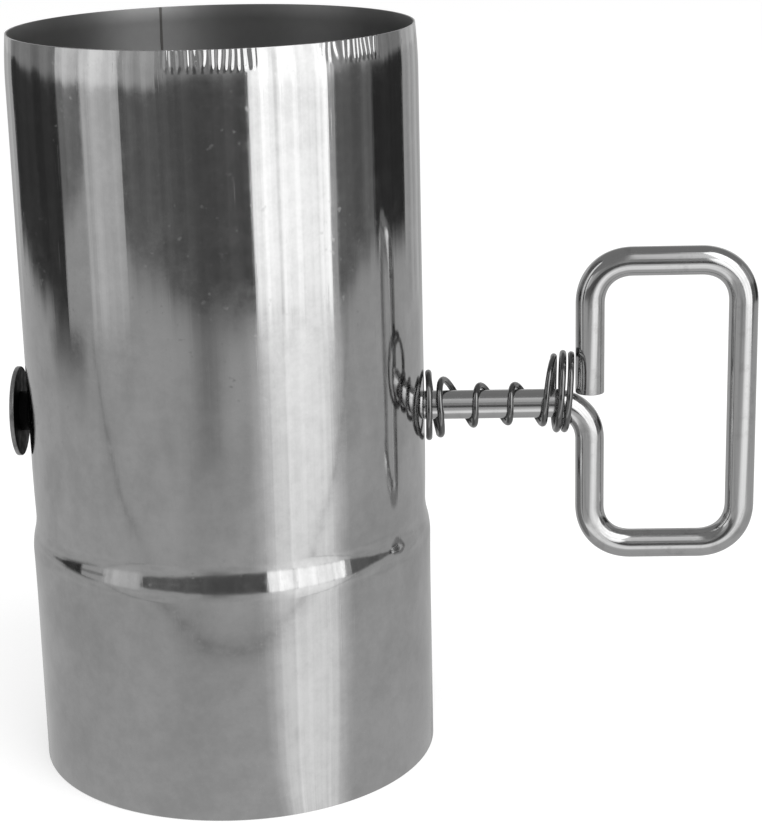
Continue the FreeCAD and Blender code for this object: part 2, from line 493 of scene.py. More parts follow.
@dataclass(frozen=True)
class DrawnSteel:
    """Drawn round steel, with fine lines along its length that follow the bends."""

    name: str
    level: float
    roughness: float
    line_depth: float
    stain: float
    tones: Span = (0.85, 1.1)
    stain_tone: float = 0.4
    stain_warmth: float = 0.02
    dull_span: Span = (0.3, 0.75)
    dulling: Span = (0.8, 1.5)
    grain_share: float = 0.25
    lines: Grain = Grain(9.0, detail=4.0)
    stains: Grain = Grain(160.0, detail=4.0, roughness=0.65, low=0.5, high=0.72)
    grain: Grain = Grain(2500.0, detail=2.0)

    def material(self) -> bpy.types.Material:
        """Make the material. It reads where each point lies round the bar from the piece's own attributes.

        Returns:
            The material.
        """
        graph = NodeGraph(self.name)
        round_bar = graph.join(graph.attribute("ring_cos"), graph.attribute("ring_sin"), 0.0)
        lines = graph.noise(self.lines, round_bar)
        stains = graph.noise(self.stains)
        stained = graph.ramp(stains, self.stains.low, self.stains.high, 0.0, self.stain)
        colour = graph.grey_mix(lines, *two_greys(self.level, self.tones))
        colour = graph.grey_mix(stained, colour, grey(self.level * self.stain_tone, self.stain_warmth))
        dull = graph.spread(stains, self.dull_span, self.roughness, self.dulling)
        normal = graph.bump(lines, self.line_depth)
        normal = graph.bump(graph.noise(self.grain), self.line_depth * self.grain_share, normal)
        graph.set_shader(Base_Color=colour, Metallic=1.0, Roughness=dull, Normal=normal)
        return graph.material


@dataclass(frozen=True)
class BlackOxide:
    """Matt blackened steel, with a painted highlight of grey steel colour where a piece's rim mask is set."""

    level: float = 0.004
    rim_highlight_level: float = 0.4
    roughness: float = 0.5
    rim_highlight_roughness: float = 0.28
    sheen: float = 0.06
    tones: Span = (0.6, 1.8)
    rim_highlight_span: Span = (0.3, 0.6)
    rim_highlight_shares: Span = (0.6, 1.0)
    dull_span: Span = (0.3, 0.7)
    dulling: Span = (0.85, 1.25)
    mottle: Grain = Grain(420.0, detail=4.0, depth=0.015 * MM)

    def material(self) -> bpy.types.Material:
        """Make the material. It reads where the painted highlight goes from the piece's own attribute.

        Returns:
            The material.
        """
        graph = NodeGraph("black_oxide")
        mottle = graph.noise(self.mottle)
        # Painted highlight: grey steel colour, metallic and glossier, where the rim mask is set.
        painted_rim_highlight = graph.times(graph.attribute("rim_highlight_mask"), graph.ramp(mottle, *self.rim_highlight_span, *self.rim_highlight_shares))
        colour = graph.grey_mix(mottle, *two_greys(self.level, self.tones))
        colour = graph.grey_mix(painted_rim_highlight, colour, grey(self.rim_highlight_level))
        dull = graph.spread(mottle, self.dull_span, self.roughness, self.dulling)
        dull = graph.blend(painted_rim_highlight, dull, self.rim_highlight_roughness)
        graph.set_shader(Base_Color=colour, Metallic=painted_rim_highlight, Roughness=dull, Specular_IOR_Level=self.sheen,
                         Normal=graph.bump(mottle, self.mottle.depth))
        return graph.material


@dataclass(frozen=True)
class PlateSheet:
    """Matt rolled stainless sheet, with its grain along the spindle."""

    level: float = 0.5
    roughness: float = 0.34
    tones: Span = (0.85, 1.08)
    dull_span: Span = (0.3, 0.75)
    dulling: Span = (0.8, 1.3)
    grain: Grain = Grain(2200.0, (0.02, 1.0, 1.0), depth=0.01 * MM)
    smudges: Grain = Grain(60.0, detail=4.0)

    def material(self) -> bpy.types.Material:
        """Make the material.

        Returns:
            The material.
        """
        graph = NodeGraph("plate_sheet")
        smudges = graph.noise(self.smudges)
        colour = graph.grey_mix(smudges, *two_greys(self.level, self.tones))
        dull = graph.spread(smudges, self.dull_span, self.roughness, self.dulling)
        normal = graph.bump(graph.noise(self.grain), self.grain.depth)
        graph.set_shader(Base_Color=colour, Metallic=1.0, Roughness=dull, Normal=normal)
        return graph.material


@dataclass(frozen=True)
class WeldMetal:
    """A plug weld's crown: dull, rippled and a little tinted by its heat."""

    level: float = 0.34
    roughness: float = 0.4
    burnt_tone: float = 0.7
    burnt_warmth: float = 0.06
    bright_tone: float = 1.2
    bright_warmth: float = -0.03
    dull_span: Span = (0.3, 0.7)
    dulling: Span = (0.8, 1.3)
    ripple: Grain = Grain(1400.0, depth=0.08 * MM)
    tint: Grain = Grain(500.0, detail=2.0)

    def material(self) -> bpy.types.Material:
        """Make the material.

        Returns:
            The material.
        """
        graph = NodeGraph("weld_metal")
        ripple = graph.noise(self.ripple)
        burnt = grey(self.level * self.burnt_tone, self.burnt_warmth)
        bright = grey(self.level * self.bright_tone, self.bright_warmth)
        colour = graph.grey_mix(graph.noise(self.tint), burnt, bright)
        dull = graph.spread(ripple, self.dull_span, self.roughness, self.dulling)
        graph.set_shader(Base_Color=colour, Metallic=1.0, Roughness=dull,
                         Normal=graph.bump(ripple, self.ripple.depth))
        return graph.material


def shade_by_angle(bm: bmesh.types.BMesh, sharp_degrees: float = 32.0) -> None:
    """Shade every face smooth and mark the edges that turn by more than an angle as sharp.

    Args:
        bm: The mesh.
        sharp_degrees: The angle.
    """
    limit = math.radians(sharp_degrees)
    for face in bm.faces:
        face.smooth = True
    for edge in bm.edges:
        edge.smooth = edge.calc_face_angle(0.0) < limit


def close_seams(bm: bmesh.types.BMesh) -> None:
    """Join the points that lie in the same place and turn the faces outwards."""
    bmesh.ops.remove_doubles(bm, verts=bm.verts, dist=SAME_PLACE)
    bmesh.ops.recalc_face_normals(bm, faces=bm.faces)


def piece_from(bm: bmesh.types.BMesh, name: str) -> bpy.types.Object:
    """Close a mesh's seams, shade it and make it an object.

    Args:
        bm: The mesh under work, which is used up.
        name: The piece's name.

    Returns:
        The new object, at the origin.
    """
    close_seams(bm)
    shade_by_angle(bm)
    mesh = bpy.data.meshes.new(name)
    bm.to_mesh(mesh)
    bm.free()
    piece = bpy.data.objects.new(name, mesh)
    bpy.context.scene.collection.objects.link(piece)
    return piece


def mount(piece: bpy.types.Object, material: bpy.types.Material, body: Body, slot: Slot, *nodes: str) -> None:
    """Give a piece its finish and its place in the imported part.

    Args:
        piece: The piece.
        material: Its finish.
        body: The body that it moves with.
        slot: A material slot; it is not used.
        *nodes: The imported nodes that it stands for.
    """
    piece.data.materials.clear()
    piece.data.materials.append(material)
    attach(piece, body.value)
    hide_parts(*nodes)
    LOG.info("%s: %d faces on %s", piece.name, len(piece.data.polygons), body.value)


def lathe(profile: Sequence[Vector], centre: Vector, axis: Vector, steps: int) -> bmesh.types.BMesh:
    """Spin a closed profile round an axis.

    Args:
        profile: The profile's corners in order.
        centre: A point on the axis.
        axis: The axis's direction.
        steps: The number of steps in the full turn.

    Returns:
        The spun mesh.
    """
    bm = bmesh.new()
    corners = [bm.verts.new(corner) for corner in profile]
    sides = [bm.edges.new((corners[i - 1], corner)) for i, corner in enumerate(corners)]
    bmesh.ops.spin(bm, geom=corners + sides, cent=centre, axis=axis, angle=2 * math.pi, steps=steps,
                   use_merge=True)
    close_seams(bm)
    return bm


def sharp_edges(bm: bmesh.types.BMesh, degrees: float) -> list[bmesh.types.BMEdge]:
    """The edges whose two faces turn by more than an angle."""
    bm.normal_update()
    return [edge for edge in bm.edges if edge.calc_face_angle(0.0) > math.radians(degrees)]


def round_edges(bm: bmesh.types.BMesh, edges: Iterable[bmesh.types.BMEdge], reach: float,
                strips: int) -> None:
    """Round edges off by a reach on each side, with a number of strips."""
    bmesh.ops.bevel(bm, geom=list(edges), offset=reach, offset_type="OFFSET", segments=strips, profile=0.5,
                    affect="EDGES", material=-1, clamp_overlap=True)


@dataclass
class PipeBody:
    """The flue pipe: a socket, an S-shaped step, the plain wall, and a rim that is drawn in.

    Pressing the step has left a low bead below it and a shallow groove above it. The ramp's shares and the
    roundings are shares of the length or the thickness that they stand in, and the drill's length is a share
    of the socket's radius.
    """

    socket_outside: float
    socket_depth: float
    sheet: float
    length: float
    rim_outside: float
    spindle_height: float
    pipe_radius: float = 55.0 * MM
    step_length: float = 10.0 * MM
    ramp_shares: Span = (0.24, 0.76)
    bead: float = 0.2 * MM
    groove: float = 0.3 * MM
    settle: float = 12.0 * MM
    rim_height: float = 8.5 * MM
    step_rounding: float = 0.25
    settle_rounding: float = 0.3
    rim_rounding: float = 0.5
    edge_rounding: float = 0.2
    hole_radius: float = 4.1 * MM
    hole_sides: int = 96
    drill_share: float = 2.5
    steps: int = 320
    finish: RolledStainless = field(default_factory=RolledStainless)

    @classmethod
    def from_frame(cls, record: dict, spindle_height: float) -> PipeBody:
        """Take the pipe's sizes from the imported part.

        Args:
            record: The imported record.
            spindle_height: The height of the spindle's axis.

        Returns:
            The pipe.
        """
        mounts = {entry["name"]: entry for entry in record["mounts"]}
        socket = mounts["socket"]["dims"]
        _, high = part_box("pipe_body")
        return cls(socket_outside=high.y, socket_depth=socket["length_mm"] * MM,
                   sheet=high.y - socket["r_mm"] * MM, length=high.z,
                   rim_outside=mounts["spigot"]["dims"]["r_mm"] * MM, spindle_height=spindle_height)

    def build(self) -> bpy.types.Object:
        """Model the wall with its two spindle holes.

        Returns:
            The pipe.
        """
        ramp_low, ramp_high = (self.socket_depth + share * self.step_length for share in self.ramp_shares)
        rim_foot = self.length - self.rim_height
        hole_room = 2 * self.hole_radius
        outside = [
            (self.socket_outside - self.bead, 0.0),
            (self.socket_outside - self.bead, ramp_low - self.settle),
            (self.socket_outside, ramp_low),
            (self.pipe_radius - self.groove, ramp_high),
            (self.pipe_radius, ramp_high + self.settle),
            (self.pipe_radius, self.spindle_height - hole_room),
            (self.pipe_radius, self.spindle_height + hole_room),
            (self.pipe_radius, rim_foot),
            (self.rim_outside, self.length),
        ]
        inside = [(radius - self.sheet, z) for radius, z in reversed(outside)]
        profile = [Vector((radius, 0.0, z)) for radius, z in outside + inside]
        bm = lathe(profile, Vector(), ALONG_Z, self.steps)
        roundings = (
            ((ramp_low, ramp_high), self.step_rounding * self.step_length, 12),
            ((ramp_low - self.settle, ramp_high + self.settle), self.settle_rounding * self.settle, 6),
            ((rim_foot,), self.rim_rounding * self.rim_height, 10),
            ((0.0, self.length), self.edge_rounding * self.sheet, 3),
        )
        for heights, reach, strips in roundings:
            round_edges(bm, self.hoops(bm, heights), reach, strips)
        pipe = piece_from(bm, "pipe_wall")
        self.cut_holes(pipe)
        return pipe

    def hoops(self, bm: bmesh.types.BMesh, heights: Sequence[float]) -> list[bmesh.types.BMEdge]:
        """The edges that run round the pipe at some heights.

        Args:
            bm: The mesh.
            heights: The heights.

        Returns:
            The edges.
        """
        found = []
        for edge in bm.edges:
            first, second = (vert.co for vert in edge.verts)
            level = any(abs(first.z - z) + abs(second.z - z) < SAME_LEVEL for z in heights)
            if level and abs(first.xy.length - second.xy.length) < SAME_LEVEL:
                found.append(edge)
        return found

    def cut_holes(self, pipe: bpy.types.Object) -> None:
        """Cut the spindle's holes through both sides of the wall.

        Args:
            pipe: The pipe without holes.
        """
        bm = bmesh.new()
        across = Matrix.Translation((0.0, 0.0, self.spindle_height)) @ Matrix.Rotation(math.pi / 2, 4, "Y")
        drill_length = self.drill_share * self.socket_outside
        bmesh.ops.create_cone(bm, cap_ends=True, segments=self.hole_sides, radius1=self.hole_radius,
                              radius2=self.hole_radius, depth=drill_length, matrix=across)
        drill = piece_from(bm, "drill")
        cut = pipe.modifiers.new("spindle_holes", "BOOLEAN")
        cut.operation = "DIFFERENCE"
        cut.solver = "EXACT"
        cut.object = drill
        whole = pipe.data
        pipe.data = bpy.data.meshes.new_from_object(pipe.evaluated_get(bpy.context.evaluated_depsgraph_get()))
        pipe.modifiers.clear()
        bpy.data.meshes.remove(whole)
        bpy.data.objects.remove(drill)
        bm = bmesh.new()
        bm.from_mesh(pipe.data)
        shade_by_angle(bm)
        bm.to_mesh(pipe.data)
        bm.free()
        pipe.data.name = pipe.name

    def dress(self, pipe: bpy.types.Object) -> None:
        """Finish the pipe and put it on its body."""
        material = self.finish.material(self.pipe_radius, self.rim_outside, self.length)
        mount(pipe, material, Body.PIPE, Slot.PIPE, "pipe_body")


def smooth_step(value: float, start: float, end: float) -> float:
    """0 before start, 1 after end, and an even S-curve between them."""
    share = min(1.0, max(0.0, (value - start) / (end - start)))
    return share * share * (3 - 2 * share)


class RoundSweep:
    """A round bar that grows from its end face. Each ring remembers where its points lie round the bar.

    A bend takes even_share of its angle evenly, and eases in and out of the rest.
    """

    even_share: float = 0.65

    def __init__(self, start: Vector, heading: Vector, radius: float, sides: int) -> None:
        """Make the first face.

        Args:
            start: The face's middle.
            heading: The direction in which the bar grows.
            radius: The face's radius.
            sides: The number of its corners.
        """
        self.bm = bmesh.new()
        self.point = start.copy()
        self.heading = heading.normalized()
        place = self.heading.to_track_quat("Z", "Y").to_matrix().to_4x4()
        place.translation = start
        ring_cos = self.bm.verts.layers.float.new("ring_cos")
        ring_sin = self.bm.verts.layers.float.new("ring_sin")
        made = bmesh.ops.create_circle(self.bm, cap_ends=True, segments=sides, radius=radius, matrix=place)
        for i, vert in enumerate(made["verts"]):
            vert[ring_cos] = math.cos(2 * math.pi * i / sides)
            vert[ring_sin] = math.sin(2 * math.pi * i / sides)
        self.first = made["verts"][0].link_faces[0]
        self.end = self.first

    def extrude(self) -> list[bmesh.types.BMVert]:
        """Extrude the end face in place, and keep no face inside the bar.

        Returns:
            The new face's corners.
        """
        old = self.end
        made = bmesh.ops.extrude_face_region(self.bm, geom=[old])["geom"]
        self.end = next(item for item in made if isinstance(item, bmesh.types.BMFace))
        if old is not self.first:
            bmesh.ops.delete(self.bm, geom=[old], context="FACES_ONLY")
        return list(self.end.verts)

    def run(self, length: float, widen: float = 1.0) -> None:
        """Grow straight on.

        Args:
            length: How far.
            widen: The new radius as a share of the old one.
        """
        corners = self.extrude()
        self.point = self.point + self.heading * length
        bmesh.ops.translate(self.bm, verts=corners, vec=self.heading * length)
        bmesh.ops.scale(self.bm, verts=corners, vec=(widen, widen, widen),
                        space=Matrix.Translation(-self.point))

    def run_to_bend(self, corner: Vector, leaving: Vector, bend_radius: float, steps: int) -> None:
        """Grow to a corner and round it.

        The bend tightens and eases again, and its middle lies on the arc of the bend's radius.

        Args:
            corner: Where the two straight runs would meet.
            leaving: The direction after the corner.
            bend_radius: The bend's radius at the middle of the bar.
            steps: The number of steps in the bend, an even one.
        """
        leaving = leaving.normalized()
        angle = self.heading.angle(leaving)
        hinge = self.heading.cross(leaving).normalized()
        eased_share = 1 - self.even_share
        turned = [angle * (self.even_share * i / steps + eased_share * smooth_step(i, 0, steps))
                  for i in range(steps + 1)]
        chords = [(first + second) / 2 for first, second in zip(turned, turned[1:])]
        reach = sum(math.cos(chord) for chord in chords)
        half = chords[:steps // 2]
        middle = Vector((sum(math.cos(chord) for chord in half), sum(math.sin(chord) for chord in half)))
        cut = (Vector((reach, 0.0)) - middle).length
        stride = bend_radius * (1 / math.cos(angle / 2) - 1) / cut
        self.run((corner - self.point).length - reach * stride)
        straight = self.heading
        for chord, first, second in zip(chords, turned, turned[1:]):
            onward = Matrix.Rotation(chord, 3, hinge) @ straight
            turn = Matrix.Rotation(second - first, 4, hinge)
            old = self.point
            self.point = old + onward * stride
            self.follow(Matrix.Translation(self.point) @ turn @ Matrix.Translation(-old))
        self.heading = leaving

    def follow(self, change: Matrix) -> None:
        """Grow by one step, with the change that carries the old end face to the new one."""
        bmesh.ops.transform(self.bm, matrix=change, verts=self.extrude())


@dataclass
class SpindleBar:
    """One round bar: a peened end, the shaft across the pipe, and the loop that is the handle."""

    plain_end_x: float
    outer_leg_x: float
    loop_low: float
    loop_high: float
    spindle_height: float
    bar_radius: float = 4.0 * MM
    head_radius: float = 5.5 * MM
    head_height: float = 1.5 * MM
    head_chamfer: float = 1.0 * MM
    loop_width: float = 42.0 * MM
    shaft_bend: float = 10.0 * MM
    loop_bend: float = 11.0 * MM
    bend_steps: int = 28
    end_gap: float = 0.4 * MM
    sides: int = 64
    edge_degrees: float = 40.0
    edge_rounding: float = 0.2 * MM
    edge_strips: int = 3
    finish: DrawnSteel = DrawnSteel("drawn_bar", level=0.55, roughness=0.11, line_depth=0.004 * MM,
                                    stain=0.25)

    @classmethod
    def from_frame(cls, spindle_height: float) -> SpindleBar:
        """Take the bar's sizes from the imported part.

        Args:
            spindle_height: The height of the spindle's axis.

        Returns:
            The bar.
        """
        low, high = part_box("spindle")
        return cls(plain_end_x=low.x, outer_leg_x=high.x - cls.bar_radius, loop_low=low.z + cls.bar_radius,
                   loop_high=high.z - cls.bar_radius, spindle_height=spindle_height)

    @property
    def inner_leg_x(self) -> float:
        """Where the handle's inner leg stands."""
        return self.outer_leg_x - self.loop_width

    def build(self) -> bpy.types.Object:
        """Model the bar from its peened end to the loop's cut end.

        Returns:
            The bar.
        """
        start = Vector((self.plain_end_x, 0.0, self.spindle_height))
        face_radius = self.head_radius - self.head_chamfer
        sweep = RoundSweep(start, ALONG_X, face_radius, self.sides)
        sweep.run(self.head_chamfer, self.head_radius / face_radius)
        sweep.run(self.head_height - self.head_chamfer)
        sweep.run(0.0, self.bar_radius / self.head_radius)
        near, far = self.inner_leg_x, self.outer_leg_x
        corners = [
            (Vector((near, 0.0, self.spindle_height)), -ALONG_Z, self.shaft_bend),
            (Vector((near, 0.0, self.loop_low)), ALONG_X, self.loop_bend),
            (Vector((far, 0.0, self.loop_low)), ALONG_Z, self.loop_bend),
            (Vector((far, 0.0, self.loop_high)), -ALONG_X, self.loop_bend),
            (Vector((near, 0.0, self.loop_high)), -ALONG_Z, self.loop_bend),
        ]
        for corner, leaving, bend in corners:
            sweep.run_to_bend(corner, leaving, bend, self.bend_steps)
        # The cut end stops a small gap above the outside of the first bend.
        crown = math.sqrt((self.shaft_bend + self.bar_radius) ** 2 - (self.shaft_bend - self.bar_radius) ** 2)
        cut_height = self.spindle_height + crown - self.shaft_bend + self.end_gap
        sweep.run(sweep.point.z - cut_height)
        round_edges(sweep.bm, sharp_edges(sweep.bm, self.edge_degrees), self.edge_rounding, self.edge_strips)
        return piece_from(sweep.bm, "spindle_bar")

    def dress(self, bar: bpy.types.Object) -> None:
        """Finish the bar and put it on its body."""
        mount(bar, self.finish.material(), Body.SPINDLE, Slot.BAR, "spindle")


@dataclass
class HourglassSpring:
    """The spring on the shaft: a turn on the wall, open turns on the bar, and wide close turns at the handle.

    A lean is how far the coil's plane tips towards the wall for each length that it rises. Narrowing and
    tipping run over turns that count from the end of the wall's turn, and widening over turns from the end of
    the open ones. The ends of the wire are rounded by a share of its radius.
    """

    wall_x: float
    leg_face_x: float
    bar_radius: float
    spindle_height: float
    push_travel: float
    wire_radius: float = 0.9 * MM
    end_gap: float = 0.3 * MM
    bar_gap: float = 0.3 * MM
    wall_coil: float = 9.0 * MM
    handle_coil: float = 10.6 * MM
    handle_lift: float = 3.4 * MM
    open_lean: float = 0.27
    handle_lean: float = -0.05
    wall_pitch: float = 0.9 * MM
    close_pitch: float = 2.2 * MM
    wall_turns: float = 1.0
    open_turns: float = 3.5
    handle_turns: float = 2.0
    narrowing: Span = (-0.5, 1.5)
    tipping: Span = (-0.75, 0.25)
    widening: Span = (-0.75, 0.25)
    steps_per_turn: int = 40
    sides: int = 14
    edge_degrees: float = 60.0
    rounding_share: float = 0.15
    edge_strips: int = 2
    finish: DrawnSteel = DrawnSteel("spring_wire", level=0.2, roughness=0.12, line_depth=0.004 * MM,
                                    stain=0.6)

    @property
    def turns(self) -> float:
        """All the turns of the wire."""
        return self.wall_turns + self.open_turns + self.handle_turns

    def wire_point(self, turn: float) -> Vector:
        """A point on the middle of the wire.

        Args:
            turn: The turns from the wire's start, which lies below the bar.

        Returns:
            The point.
        """
        start_x = self.wall_x + self.end_gap + self.wire_radius
        end_x = self.leg_face_x - self.end_gap - self.wire_radius + self.handle_lean * self.handle_coil
        close_length = self.wall_turns * self.wall_pitch + self.handle_turns * self.close_pitch
        open_pitch = (end_x - start_x - close_length) / self.open_turns
        wall_part = min(turn, self.wall_turns)
        open_part = min(max(turn - self.wall_turns, 0.0), self.open_turns)
        handle_part = turn - wall_part - open_part
        x = start_x + wall_part * self.wall_pitch + open_part * open_pitch + handle_part * self.close_pitch

        past_wall = turn - self.wall_turns
        narrowed = smooth_step(past_wall, *self.narrowing)
        tipped = smooth_step(past_wall, *self.tipping)
        widened = smooth_step(past_wall - self.open_turns, *self.widening)
        waist = self.bar_radius + self.bar_gap + self.wire_radius
        coil = self.wall_coil + (waist - self.wall_coil) * narrowed + (self.handle_coil - waist) * widened
        lean = self.open_lean * tipped + (self.handle_lean - self.open_lean) * widened
        angle = -math.pi / 2 - 2 * math.pi * turn
        height = coil * math.sin(angle)
        rise = height + self.handle_lift * widened
        return Vector((x - lean * height, coil * math.cos(angle), self.spindle_height + rise))

    def wire_frame(self, turn: float) -> Matrix:
        """The place of the wire's section: its middle, and its axes with the third along the wire.

        Args:
            turn: The turns from the wire's start.

        Returns:
            The place.
        """
        quarter_step = 0.25 / self.steps_per_turn
        along = (self.wire_point(turn + quarter_step) - self.wire_point(turn - quarter_step)).normalized()
        first = along.cross(ALONG_X).normalized()
        second = along.cross(first)
        place = Matrix((first, second, along)).transposed().to_4x4()
        place.translation = self.wire_point(turn)
        return place

    def build(self) -> bpy.types.Object:
        """Model the wire by growing its end face along the coil.

        Returns:
            The spring.
        """
        steps = round(self.turns * self.steps_per_turn)
        frames = [self.wire_frame(self.turns * i / steps) for i in range(steps + 1)]
        first = frames[0]
        sweep = RoundSweep(first.translation, first.to_3x3() @ ALONG_Z, self.wire_radius, self.sides)
        for old, new in zip(frames, frames[1:]):
            sweep.follow(new @ old.inverted())
        ends = sharp_edges(sweep.bm, self.edge_degrees)
        round_edges(sweep.bm, ends, self.rounding_share * self.wire_radius, self.edge_strips)
        return piece_from(sweep.bm, "spring_wire")

    def dress(self, spring: bpy.types.Object) -> None:
        """Finish the spring, put it on its body and give it a mesh of its own.

        Args:
            spring: The spring.
        """
        mount(spring, self.finish.material(), Body.SPRING, Slot.SPRING, "spring")
        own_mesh(spring)


@dataclass
class EndStop:
    """The black collar and washer at the spindle's plain end. The washer's rim has a painted highlight of
    grey steel colour.
    """

    bar_radius: float
    spindle_height: float
    collar_gap: float = 0.05 * MM
    collar_rounding: float = 0.15 * MM
    washer_gap: float = 0.2 * MM
    washer_rounding: float = 0.2 * MM
    rim_highlight_reach: float = 0.6
    edge_degrees: float = 60.0
    edge_strips: int = 3
    steps: int = 96
    finish: BlackOxide = field(default_factory=BlackOxide)

    def ring(self, node: str, bore: float, rounding: float, rim_highlight: float) -> bpy.types.Object:
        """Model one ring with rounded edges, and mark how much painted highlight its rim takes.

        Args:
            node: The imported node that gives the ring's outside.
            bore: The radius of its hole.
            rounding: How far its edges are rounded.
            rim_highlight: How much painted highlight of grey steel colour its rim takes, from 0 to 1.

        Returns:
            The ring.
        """
        low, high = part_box(node)
        outside = (high.z - low.z) / 2
        profile = [Vector((x, 0.0, self.spindle_height + radius)) for x, radius in
                   ((low.x, bore), (low.x, outside), (high.x, outside), (high.x, bore))]
        bm = lathe(profile, Vector((0.0, 0.0, self.spindle_height)), ALONG_X, self.steps)
        rim_highlight_mask = bm.verts.layers.float.new("rim_highlight_mask")
        round_edges(bm, sharp_edges(bm, self.edge_degrees), rounding, self.edge_strips)
        # Mark the rim's outermost points for the painted highlight of grey steel colour.
        for vert in bm.verts:
            from_axis = math.hypot(vert.co.y, vert.co.z - self.spindle_height)
            vert[rim_highlight_mask] = rim_highlight if from_axis > outside - self.rim_highlight_reach * rounding else 0.0
        return piece_from(bm, node + "_ring")

    def build(self) -> list[bpy.types.Object]:
        """Model the collar and the washer.

        Returns:
            The collar, then the washer.
        """
        return [
            self.ring("end_collar", self.bar_radius + self.collar_gap, self.collar_rounding, 0.0),
            self.ring("end_washer", self.bar_radius + self.washer_gap, self.washer_rounding, 1.0),
        ]

    def dress(self, rings: list[bpy.types.Object]) -> None:
        """Finish the collar and the washer and put them on their body.

        Args:
            rings: The collar, then the washer.
        """
        material = self.finish.material()
        for ring, node in zip(rings, ("end_collar", "end_washer")):
            mount(ring, material, Body.SPINDLE, Slot.BLACK, node)


@dataclass
class DamperPlate:
    """The pressed plate inside the pipe and its two plug welds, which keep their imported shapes."""

    sheet_finish: PlateSheet = field(default_factory=PlateSheet)
    weld_finish: WeldMetal = field(default_factory=WeldMetal)

    def dress(self, nodes: dict[str, bpy.types.Object]) -> None:
        """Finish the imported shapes.

        Args:
            nodes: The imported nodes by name.
        """
        for name, finish in (("damper_plate", self.sheet_finish), ("plate_plug_welds", self.weld_finish)):
            mesh = nodes[name].data
            mesh.materials.clear()
            mesh.materials.append(finish.material())
            LOG.info("%s: keeps its packed shape", name)


class GlowGraph(NodeGraph):
    """The node tree of a stage piece that only glows."""

    def __init__(self, name: str) -> None:
        """Start a material whose one shader is a glow.

        Args:
            name: The material's name.
        """
        super().__init__(name)
        self.tree.nodes.remove(self.shader)
        self.shader = self.add("ShaderNodeEmission")
        self.feed(self.tree.nodes["Material Output"].inputs["Surface"], self.shader.outputs[0])
        self.material.cycles.emission_sampling = "NONE"


def stage_reflection(bm: bmesh.types.BMesh, graph: GlowGraph) -> None:
    """Put a glowing stage piece up that shows only in reflections.

    Args:
        bm: The piece's mesh, which is used up.
        graph: Its glow, whose material gives the piece its name.
    """
    piece = piece_from(bm, graph.material.name)
    piece.data.materials.append(graph.material)
    piece.visible_camera = False
    piece.visible_diffuse = False
    piece.visible_transmission = False
    piece.visible_shadow = False


def seen_directly(tree: bpy.types.NodeTree) -> Socket:
    """1 for what the camera sees, also in a mirror and through glass.

    Args:
        tree: The node tree to add to.

    Returns:
        The result's output.
    """
    rays = tree.nodes.new("ShaderNodeLightPath")
    found = rays.outputs["Is Camera Ray"]
    for kind in ("Is Glossy Ray", "Is Transmission Ray"):
        either = tree.nodes.new("ShaderNodeMath")
        either.operation = "MAXIMUM"
        tree.links.new(found, either.inputs[0])
        tree.links.new(rays.outputs[kind], either.inputs[1])
        found = either.outputs[0]
    return found


@dataclass(frozen=True)
class StudioCard:
    """A stretch of the screen that stands round the object, with one level below its split and another above.

    Start and end are directions in degrees from the front, to the right as seen from there. The card's foot
    slants evenly from one height at its start to another at its end. Streaks run down the card and leave its
    foot and its split ragged.
    """

    name: str
    start: float
    end: float
    foot: float
    foot_end: float
    level: float
    upper_level: float
    split: float = 0.158
    soft: float = 0.006
    streaks: float = 7.0
    streak_stretch: float = 0.05
    streak_span: Span = (0.25, 0.75)
    streak_levels: Span = (0.75, 1.25)
    ragged: float = 0.04
    foot_fade: Span = (-0.012, 0.016)
    step_degrees: float = 4.0

    def build(self, distance: float, top: float, floor_level: float) -> None:
        """Stand the card up.

        Args:
            distance: How far from the pipe's axis the screen stands.
            top: The screen's height.
            floor_level: The level below the card's foot, where the floor runs on.
        """
        start = math.radians(self.start)
        sweep = math.radians(self.end - self.start)
        base = Vector((math.sin(start), -math.cos(start), 0.0)) * distance
        bm = bmesh.new()
        ends = [bm.verts.new(base), bm.verts.new(base + ALONG_Z * top)]
        side = bm.edges.new(ends)
        steps = max(2, round((self.end - self.start) / self.step_degrees))
        bmesh.ops.spin(bm, geom=ends + [side], cent=Vector(), axis=ALONG_Z, angle=sweep, steps=steps)

        graph = GlowGraph(self.name)
        around = graph.front_angle()
        grain = Grain(self.streaks, (1.0, 1.0, self.streak_stretch), detail=2.0)
        streaks = graph.noise(grain, graph.join(around, 0.0, graph.z))
        ragged = graph.plus(graph.z, graph.times(graph.minus(streaks, 0.5), self.ragged))
        shade = graph.ramp(streaks, *self.streak_span, *self.streak_levels)
        lower, upper = (graph.times(shade, level) for level in (self.level, self.upper_level))
        glow = graph.ramp(ragged, self.split - self.soft, self.split + self.soft, lower, upper)
        foot = graph.ramp(around, start, start + sweep, self.foot, self.foot_end, "LINEAR")
        glow = graph.ramp(graph.minus(ragged, foot), *self.foot_fade, floor_level, glow)
        graph.set_shader(Strength=glow)
        stage_reflection(bm, graph)


